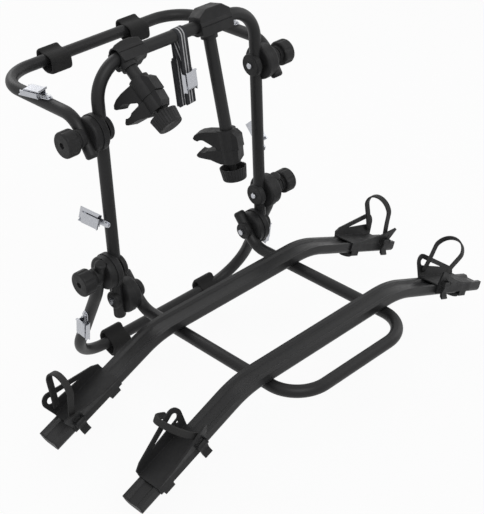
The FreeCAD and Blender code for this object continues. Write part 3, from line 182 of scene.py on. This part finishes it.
def make_camera():
    azimuth = math.radians(CAMERA_AZIMUTH)
    elevation = math.radians(CAMERA_ELEVATION)
    roll = math.radians(CAMERA_ROLL)
    back = Vector((math.sin(azimuth) * math.cos(elevation), -math.cos(azimuth) * math.cos(elevation),
                   math.sin(elevation)))
    level = (-back).cross(Vector((0, 0, 1))).normalized()
    upright = level.cross(-back)
    right = math.cos(roll) * level + math.sin(roll) * upright
    up = -math.sin(roll) * level + math.cos(roll) * upright
    data = bpy.data.cameras.new("camera")
    data.sensor_width = SENSOR
    data.lens = CAMERA_FOCAL_PX / IMAGE_HEIGHT * SENSOR
    data.clip_start, data.clip_end = CAMERA_CLIP
    camera = bpy.data.objects.new("camera", data)
    camera.matrix_world = Matrix((right, up, back)).transposed().to_4x4()
    camera.location = -CAMERA_ASIDE * right - CAMERA_ABOVE * up + CAMERA_AWAY * back
    bpy.context.scene.collection.objects.link(camera)
    bpy.context.scene.camera = camera


def area_light(name, place, aim, size, power):
    data = bpy.data.lights.new(name, "AREA")
    data.size = size
    data.energy = power
    lamp = bpy.data.objects.new(name, data)
    lamp.location = place
    lamp.rotation_euler = (Vector(aim) - Vector(place)).to_track_quat("-Z", "Y").to_euler()
    bpy.context.scene.collection.objects.link(lamp)


def pale_to_camera(nodes, links):
    """One where the camera, a mirror image or glass looks, zero where light is gathered."""
    path = nodes.new("ShaderNodeLightPath")
    seen = path.outputs["Is Camera Ray"]
    for ray in ("Is Glossy Ray", "Is Transmission Ray"):
        larger = nodes.new("ShaderNodeMath")
        larger.operation = "MAXIMUM"
        links.new(seen, larger.inputs[0])
        links.new(path.outputs[ray], larger.inputs[1])
        seen = larger.outputs[0]
    return seen


def make_world():
    world = bpy.data.worlds.new("studio")
    bpy.context.scene.world = world
    world.use_nodes = True
    nodes = world.node_tree.nodes
    links = world.node_tree.links
    background = nodes["Background"]
    background.inputs["Color"].default_value = (1, 1, 1, 1)
    level = nodes.new("ShaderNodeMapRange")
    level.inputs["To Min"].default_value = WORLD_LIGHT
    level.inputs["To Max"].default_value = 1.0
    links.new(pale_to_camera(nodes, links), level.inputs["Value"])
    links.new(level.outputs["Result"], background.inputs["Strength"])


def make_floor():
    """Pale floor that reads white and keeps a soft shadow."""
    z = cad_low.z - FLOOR_DROP
    mesh = bpy.data.meshes.new("floor")
    corners = [(-FLOOR_HALF, -FLOOR_HALF, z), (FLOOR_HALF, -FLOOR_HALF, z),
               (FLOOR_HALF, FLOOR_HALF, z), (-FLOOR_HALF, FLOOR_HALF, z)]
    mesh.from_pydata(corners, [], [(0, 1, 2, 3)])
    floor = bpy.data.objects.new("floor", mesh)
    bpy.context.scene.collection.objects.link(floor)
    material = bpy.data.materials.new("floor_white")
    material.use_nodes = True
    nodes = material.node_tree.nodes
    links = material.node_tree.links
    nodes.remove(nodes["Principled BSDF"])
    matt = nodes.new("ShaderNodeBsdfDiffuse")
    matt.inputs["Color"].default_value = FLOOR_COLOUR
    glow = nodes.new("ShaderNodeEmission")
    blend = nodes.new("ShaderNodeMixShader")
    share = nodes.new("ShaderNodeMath")
    share.operation = "MULTIPLY"
    share.inputs[1].default_value = FLOOR_GLOW
    links.new(pale_to_camera(nodes, links), share.inputs[0])
    links.new(share.outputs[0], blend.inputs["Fac"])
    links.new(matt.outputs["BSDF"], blend.inputs[1])
    links.new(glow.outputs["Emission"], blend.inputs[2])
    links.new(blend.outputs["Shader"], nodes["Material Output"].inputs["Surface"])
    mesh.materials.append(material)


class Finish:
    """One procedural material, built step by step."""

    def __init__(self, name, metallic=0.0, specular=0.5):
        self.material = bpy.data.materials.new(name)
        self.material.use_nodes = True
        self.nodes = self.material.node_tree.nodes
        self.links = self.material.node_tree.links
        self.surface = self.nodes["Principled BSDF"]
        self.surface.inputs["Metallic"].default_value = metallic
        self.surface.inputs["Specular IOR Level"].default_value = specular
        self.place = self.nodes.new("ShaderNodeTexCoord")
        self.normal = None

    def noise(self, scale, detail=3.0, stretch=(1, 1, 1)):
        mapping = self.nodes.new("ShaderNodeMapping")
        mapping.inputs["Scale"].default_value = stretch
        self.links.new(self.place.outputs["Object"], mapping.inputs["Vector"])
        texture = self.nodes.new("ShaderNodeTexNoise")
        texture.inputs["Scale"].default_value = scale
        texture.inputs["Detail"].default_value = detail
        self.links.new(mapping.outputs["Vector"], texture.inputs["Vector"])
        return texture.outputs["Fac"]

    def band_places(self):
        """Places across and along a band, from its UV."""
        split = self.nodes.new("ShaderNodeSeparateXYZ")
        self.links.new(self.place.outputs["UV"], split.inputs["Vector"])
        return split.outputs["X"], split.outputs["Y"]

    def ranged(self, value, low, high, to_low, to_high):
        node = self.nodes.new("ShaderNodeMapRange")
        settings = (("From Min", low), ("From Max", high), ("To Min", to_low), ("To Max", to_high))
        for socket, amount in settings:
            node.inputs[socket].default_value = amount
        self.links.new(value, node.inputs["Value"])
        return node.outputs["Result"]

    def spread(self, noise, to_low, to_high):
        """Stretch a noise's usual span over another one."""
        return self.ranged(noise, NOISE_LOW, NOISE_HIGH, to_low, to_high)

    def mixed(self, share, first, second):
        """Blend two colours, each a tuple or a socket."""
        node = self.nodes.new("ShaderNodeMix")
        node.data_type = "RGBA"
        self.links.new(share, node.inputs["Factor"])
        for socket, colour in (("A", first), ("B", second)):
            entry = [s for s in node.inputs if s.name == socket and s.type == "RGBA"][0]
            if isinstance(colour, tuple):
                entry.default_value = (*colour, 1)
            else:
                self.links.new(colour, entry)
        return [s for s in node.outputs if s.type == "RGBA"][0]

    def toned(self, noise, tones):
        """Colour that drifts between two tones with a noise."""
        return self.mixed(self.spread(noise, 0.0, 1.0), *tones)

    def combined(self, operation, first, second=0.0):
        node = self.nodes.new("ShaderNodeMath")
        node.operation = operation
        for index, value in enumerate((first, second)):
            if isinstance(value, float):
                node.inputs[index].default_value = value
            else:
                self.links.new(value, node.inputs[index])
        return node.outputs[0]

    def rounded_normal(self, radius):
        """Normal of the surface as if its edges were rounded."""
        bevel = self.nodes.new("ShaderNodeBevel")
        bevel.samples = 4
        bevel.inputs["Radius"].default_value = radius
        return bevel.outputs["Normal"]

    def soft_edges(self, radius):
        self.normal = self.rounded_normal(radius)

    def edge_wear(self, radius):
        """Nought on flat faces, rising to one at sharp edges."""
        geometry = self.nodes.new("ShaderNodeNewGeometry")
        dot = self.nodes.new("ShaderNodeVectorMath")
        dot.operation = "DOT_PRODUCT"
        self.links.new(self.rounded_normal(radius), dot.inputs[0])
        self.links.new(geometry.outputs["Normal"], dot.inputs[1])
        return self.ranged(dot.outputs["Value"], 0.995, 0.85, 0.0, 1.0)

    def bump(self, height, depth):
        node = self.nodes.new("ShaderNodeBump")
        node.inputs["Strength"].default_value = 1.0
        node.inputs["Distance"].default_value = depth
        self.links.new(height, node.inputs["Height"])
        if self.normal is not None:
            self.links.new(self.normal, node.inputs["Normal"])
        self.normal = node.outputs["Normal"]

    def finish(self, colour, roughness):
        self.links.new(colour, self.surface.inputs["Base Color"])
        self.links.new(roughness, self.surface.inputs["Roughness"])
        if self.normal is not None:
            self.links.new(self.normal, self.surface.inputs["Normal"])
        return self.material


def powder_coat():
    f = Finish("tube_coat_satin", specular=0.26)
    cloud = f.noise(9.0, 4.0)
    f.bump(f.noise(900.0, 2.0), depth=0.00006)
    f.bump(f.noise(160.0, 2.0), depth=0.00010)
    return f.finish(f.toned(cloud, COAT_TONES), f.spread(cloud, 0.40, 0.50))


def coated_rail():
    f = Finish("rail_coat_satin", specular=0.26)
    drawn = f.noise(260.0, 2.0, stretch=(0.02, 1.0, 1.0))
    wear = f.combined("MULTIPLY", f.edge_wear(0.0008), f.ranged(f.noise(60.0), 0.45, 0.65, 0.0, 0.6))
    colour = f.mixed(wear, f.toned(f.noise(6.0, 4.0), COAT_TONES), COAT_WORN)
    f.soft_edges(0.0007)
    f.bump(drawn, depth=0.00006)
    return f.finish(colour, f.spread(drawn, 0.34, 0.48))


def moulded_plastic():
    f = Finish("black_plastic_grain", specular=0.22)
    wear = f.combined("MULTIPLY", f.edge_wear(0.0010), f.ranged(f.noise(90.0), 0.40, 0.70, 0.2, 0.8))
    colour = f.mixed(wear, f.toned(f.noise(14.0, 4.0), PLASTIC_TONES), PLASTIC_WORN)
    f.soft_edges(0.0009)
    f.bump(f.noise(1500.0, 2.0), depth=0.00010)
    return f.finish(colour, f.spread(f.noise(70.0), 0.46, 0.62))


def matt_rubber():
    f = Finish("pad_rubber_matt", specular=0.2)
    cloud = f.noise(22.0, 5.0)
    f.bump(f.noise(500.0, 3.0), depth=0.00014)
    return f.finish(f.toned(cloud, PAD_TONES), f.spread(cloud, 0.66, 0.82))


def toothed_rubber():
    """Rubber strap with ratchet teeth across its middle."""
    f = Finish("strap_rubber_teeth", specular=0.25)
    across, along = f.band_places()
    teeth = f.combined("FRACT", f.combined("MULTIPLY", along, TEETH))
    from_middle = f.combined("ABSOLUTE", f.combined("SUBTRACT", across, 0.5))
    inner = f.ranged(from_middle, TEETH_HALF, TEETH_FADE, 1.0, 0.0)
    cloud = f.noise(24.0, 5.0)
    f.bump(f.combined("MULTIPLY", teeth, inner), depth=0.0006)
    f.bump(f.noise(900.0, 3.0), depth=0.00010)
    return f.finish(f.toned(cloud, STRAP_TONES), f.spread(cloud, 0.58, 0.74))


def bright_zinc():
    f = Finish("zinc_plate", metallic=1.0)
    crystal = f.noise(420.0, 3.0)
    f.soft_edges(0.0005)
    f.bump(f.noise(700.0, 2.0, stretch=(1.0, 0.2, 1.0)), depth=0.00001)
    return f.finish(f.toned(crystal, ZINC_TONES), f.spread(crystal, 0.20, 0.34))


def woven_webbing():
    """Dark polyester weave with two pale lines along it."""
    f = Finish("webbing_weave", specular=0.3)
    across, along = f.band_places()
    lines = None
    for middle in LINE_MIDDLES:
        line = f.nodes.new("ShaderNodeMath")
        line.operation = "COMPARE"
        f.links.new(across, line.inputs[0])
        line.inputs[1].default_value = middle
        line.inputs[2].default_value = LINE_HALF
        lines = line.outputs[0] if lines is None else f.combined("ADD", lines, line.outputs[0])
    cloud = f.noise(30.0, 4.0)
    warp = f.combined("SINE", f.combined("MULTIPLY", across, 2 * math.pi * WARP_THREADS))
    weft = f.combined("SINE", f.combined("ADD", f.combined("MULTIPLY", along, 2 * math.pi * WEFT_THREADS),
                                         f.combined("MULTIPLY", across, 2 * math.pi * WEFT_SLANT)))
    f.bump(f.combined("MULTIPLY", warp, weft), depth=0.00018)
    colour = f.mixed(lines, f.toned(cloud, WEAVE_TONES), f.toned(cloud, LINE_TONES))
    return f.finish(colour, f.spread(cloud, 0.74, 0.88))


def finish_name(node):
    """The record's material slot for a CAD node, by what the piece is."""
    if node.endswith(("_tube", "_post")):
        return "tube_coat"
    if node.startswith("rail_"):
        return "rail_coat"
    if node.endswith(("_buckles", "_lever", "_bolts", "_buckle")):
        return "zinc"
    return "black_plastic"


def dress_cad_nodes(finishes):
    for name, obj in frame["nodes"].items():
        material = finishes[finish_name(name)]
        if not obj.material_slots:
            obj.data.materials.append(material)
        for entry in obj.material_slots:
            entry.material = material


def smooth_line(points, steps):
    """Evenly divided curve that passes through every point."""
    line = []
    last = len(points) - 1
    for index in range(last):
        before = points[max(index - 1, 0)]
        start = points[index]
        end = points[index + 1]
        after = points[min(index + 2, last)]
        for step in range(steps):
            t = step / steps
            a = 2 * start
            b = end - before
            c = 2 * before - 5 * start + 4 * end - after
            d = -before + 3 * start - 3 * end + after
            line.append((a + b * t + c * t * t + d * t ** 3) / 2)
    line.append(points[-1])
    return line


def arc_points(y, z, radius, start, end, steps):
    points = []
    for step in range(steps + 1):
        angle = math.radians(start + (end - start) * step / steps)
        points.append((y + radius * math.cos(angle), z + radius * math.sin(angle)))
    return points


def ring_quads(base, rings, count):
    """Faces between neighbouring rings of vertices, the first ring starting at base."""
    faces = []
    for row in range(base, base + (rings - 1) * count, count):
        for k in range(count):
            ahead = (k + 1) % count
            faces.append((row + k, row + ahead, row + count + ahead, row + count + k))
    return faces


def placed(name, mesh, material):
    mesh.materials.append(material)
    obj = bpy.data.objects.new(name, mesh)
    bpy.context.scene.collection.objects.link(obj)
    return obj


def solid_mesh(name, vertices, faces, material):
    """Object with its faces turned outwards, smooth on its sides and flat on its caps."""
    mesh = bpy.data.meshes.new(name)
    mesh.from_pydata([tuple(v) for v in vertices], [], faces)
    work = bmesh.new()
    work.from_mesh(mesh)
    bmesh.ops.recalc_face_normals(work, faces=work.faces)
    work.to_mesh(mesh)
    work.free()
    for polygon in mesh.polygons:
        polygon.use_smooth = len(polygon.vertices) == 4
    return placed(name, mesh, material)


def band_section(width, thick, rounding):
    """Outline of a flat band with round edges, as across and through distances."""
    outline = []
    for corner, (sx, sy) in enumerate(((1, 1), (-1, 1), (-1, -1), (1, -1))):
        for step in range(4):
            angle = math.radians(90 * corner + 30 * step)
            outline.append((sx * (width / 2 - rounding) + rounding * math.cos(angle),
                            sy * (thick / 2 - rounding) + rounding * math.sin(angle)))
    return outline


def sweep_band(name, line, across, width, thick, material, end_round=0.0):
    """Flat band along a line, wide in one direction. U runs across it, V along it in widths."""
    outline = band_section(width, thick, thick * BAND_ROUNDING)
    vertices = []
    uv = []
    run = [0.0]
    for first, second in zip(line, line[1:]):
        run.append(run[-1] + (second - first).length)
    for index, point in enumerate(line):
        ahead = line[min(index + 1, len(line) - 1)] - line[max(index - 1, 0)]
        normal = across.cross(ahead).normalized()
        squeeze = 1.0
        from_end = min(run[index], run[-1] - run[index])
        if from_end < end_round:
            squeeze = max(BAND_END_WIDTH, math.sqrt(1 - (1 - from_end / end_round) ** 2))
        for side, through in outline:
            vertices.append(point + across * (side * squeeze) + normal * through)
            uv.append((side / width + 0.5, run[index] / width))
    count = len(outline)
    faces = ring_quads(0, len(line), count)
    faces.append(tuple(reversed(range(count))))
    faces.append(tuple(range((len(line) - 1) * count, len(line) * count)))
    mesh = bpy.data.meshes.new(name)
    mesh.from_pydata([tuple(v) for v in vertices], [], faces)
    layer = mesh.uv_layers.new(name="weave")
    for loop in mesh.loops:
        layer.data[loop.index].uv = uv[loop.vertex_index]
    for polygon in mesh.polygons:
        polygon.use_smooth = True
    mesh.validate()
    return placed(name, mesh, material)


def webbing_band(name, route, middle_x, steps, material):
    """Webbing along a route of y and height about the top tube, tilted with the strap."""
    points = [WEBBING_LEAN @ Vector((0, y, z)) + Vector((0, 0, TOP_TUBE_Z)) for y, z in route]
    line = [p + X_AXIS * middle_x for p in smooth_line(points, steps)]
    return sweep_band(name, line, WEBBING_LEAN @ X_AXIS, WEBBING_WIDTH, WEBBING_THICK, material)


def safety_strap(material):
    """Webbing up from the buckle's plate, over the tube and down to its lower loop."""
    low = -WEBBING_DROP
    fold_y = -STRAND_Y + 2 * FOLD_R
    route = STRAP_RISE + arc_points(0, 0, STRAND_Y, 0, 180, 8) + STRAP_FALL
    route += arc_points(-STRAND_Y + FOLD_R, low, FOLD_R, 180, 360, 6)
    route += [(fold_y, low + 0.01), (fold_y, low + WEBBING_TAIL)]
    obj = webbing_band("safety_strap", route, 0.0, 6, material)
    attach(obj, "main_frame")
    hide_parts("strap_webbing")


def spare_hank(material):
    """Spare webbing folded up and down behind the strap."""
    low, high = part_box("strap_hank")
    middle_x = (low.x + high.x) / 2 - math.sin(math.radians(-WEBBING_TILT)) * (HANK_BOTTOM / 2)
    y = HANK_Y
    route = list(HANK_FALL)
    for fold in range(HANK_FOLDS):
        sign = 1 if fold % 2 else -1
        end = -HANK_TOP if sign > 0 else -HANK_BOTTOM
        if fold:
            route.append((y, (-HANK_TOP - HANK_BOTTOM) / 2))
        route.append((y, end - sign * HANK_STRAIGHT))
        if fold < HANK_FOLDS - 1:
            route += arc_points(y + HANK_PITCH / 2, end, HANK_PITCH / 2, 180, 180 - sign * 180, 6)
            route.append((y + HANK_PITCH, end - sign * HANK_STRAIGHT))
        y += HANK_PITCH
    obj = webbing_band("spare_webbing", route, middle_x, 4, material)
    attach(obj, "main_frame")
    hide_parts("strap_hank")


def wheel_strap(name, rubber, plastic):
    """Rubber strap of a wheel holder, hung on its pins."""
    side = 1 if name.endswith("right") else -1
    along_sign = 1 if name.startswith("back") else -1
    droop = math.radians(RAIL_DROOP)
    along = Vector((side * math.cos(droop), 0, -math.sin(droop)))
    upright = Vector((side * math.sin(droop), 0, math.cos(droop)))
    lean = math.radians(STRAP_LEAN[name])
    rise = along * (along_sign * math.sin(lean)) + upright * math.cos(lean)
    across = along * (along_sign * math.cos(lean)) - upright * math.sin(lean)
    pivot = Vector(JOINTS[name + "_strap_swing"]["pos_m"])
    if name == TIGHT_STRAP:
        route = TIGHT_ROUTE
        pin_sides = [-1]
    else:
        bow = arc_points(0, STRAP_BOW_HEIGHT, STRAP_BOW, STRAP_BOW_START, STRAP_BOW_END, 10)
        route = LOOSE_LEG + bow + [(-y, h) for y, h in reversed(LOOSE_LEG)]
        pin_sides = [-1, 1]
    line = [pivot + Y_AXIS * y + rise * h for y, h in smooth_line([Vector(p) for p in route], 6)]
    obj = sweep_band(name + "_strap_band", line, across, STRAP_WIDTH, STRAP_THICK, rubber, STRAP_WIDTH / 2)
    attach(obj, name + "_strap")
    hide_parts(name + "_strap")
    pins = rods(name + "_strap_pins", pivot, pin_sides, plastic)
    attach(pins, name + "_strap")


def rods(name, pivot, sides, material):
    """Pins from a strap's ends into the wings of its cradle."""
    vertices = []
    faces = []
    count = STRAP_PIN_SIDES
    for sign in sides:
        base = len(vertices)
        for reach in (STRAP_LEG - STRAP_THICK, STRAP_PIN_END):
            for k in range(count):
                angle = 2 * math.pi * k / count
                vertices.append(pivot + Vector((STRAP_PIN_R * math.cos(angle), sign * reach,
                                                STRAP_PIN_R * math.sin(angle))))
        faces += ring_quads(base, 2, count)
        faces.append(tuple(range(base, base + count)))
        faces.append(tuple(range(base + count, base + 2 * count)))
    return solid_mesh(name, vertices, faces, material)


def softened(outline, rounds):
    """Closed outline with its corners cut again and again until it is round."""
    keep = 1 - PAD_CORNER_CUT
    for _ in range(rounds):
        cut = []
        for index, (y, z) in enumerate(outline):
            next_y, next_z = outline[(index + 1) % len(outline)]
            cut.append((keep * y + PAD_CORNER_CUT * next_y, keep * z + PAD_CORNER_CUT * next_z))
            cut.append((PAD_CORNER_CUT * y + keep * next_y, PAD_CORNER_CUT * z + keep * next_z))
        outline = cut
    return outline


def rest_pads(level, centre_y, centre_z, places, turn, material):
    """Moulded rubber rests round a cross tube, hollow at both ends."""
    outline = softened(PAD_OUTLINE, PAD_ROUNDS)
    rings = [(-x, scale) for x, scale in PAD_RIM] + [(x, scale) for x, scale in reversed(PAD_RIM)]
    spin = Matrix.Rotation(math.radians(turn), 3, "X")
    middle = Vector((0, centre_y, centre_z))
    vertices = []
    faces = []
    count = len(outline)
    for x in places:
        base = len(vertices)
        for ring_x, scale in rings:
            for y, z in outline:
                vertices.append(spin @ Vector((0, y * scale, z * scale)) + middle + X_AXIS * (x + ring_x))
        faces += ring_quads(base, len(rings), count)
        last = base + (len(rings) - 1) * count
        faces.append(tuple(range(base, base + count)))
        faces.append(tuple(range(last, last + count)))
    obj = solid_mesh(level + "_rubber_rests", vertices, faces, material)
    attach(obj, level + "_frame")
    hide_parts(level + "_pads")


make_camera()
make_world()
make_floor()
centre = (cad_low + cad_high) / 2
for lamp_name, lamp_place, lamp_size, lamp_power in LAMPS:
    area_light(lamp_name, lamp_place, centre, lamp_size, lamp_power)

FINISHES = {"tube_coat": powder_coat(), "rail_coat": coated_rail(), "black_plastic": moulded_plastic(),
            "pad_rubber": matt_rubber(), "strap_rubber": toothed_rubber(), "zinc": bright_zinc(),
            "webbing": woven_webbing()}
dress_cad_nodes(FINISHES)
safety_strap(FINISHES["webbing"])
spare_hank(FINISHES["webbing"])
for holder in STRAP_LEAN:
    wheel_strap(holder, FINISHES["strap_rubber"], FINISHES["black_plastic"])
upper_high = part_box("upper_tube")[1]
lower_low, lower_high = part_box("lower_tube")
rest_pads("upper", upper_high.y - TUBE_R, upper_high.z - TUBE_R, UPPER_PAD_X, 0.0, FINISHES["pad_rubber"])
rest_pads("lower", lower_high.y - TUBE_R, lower_low.z + TUBE_R, LOWER_PAD_X, LOWER_PAD_TURN,
          FINISHES["pad_rubber"])

bpy.context.scene.view_settings.view_transform = "Standard"
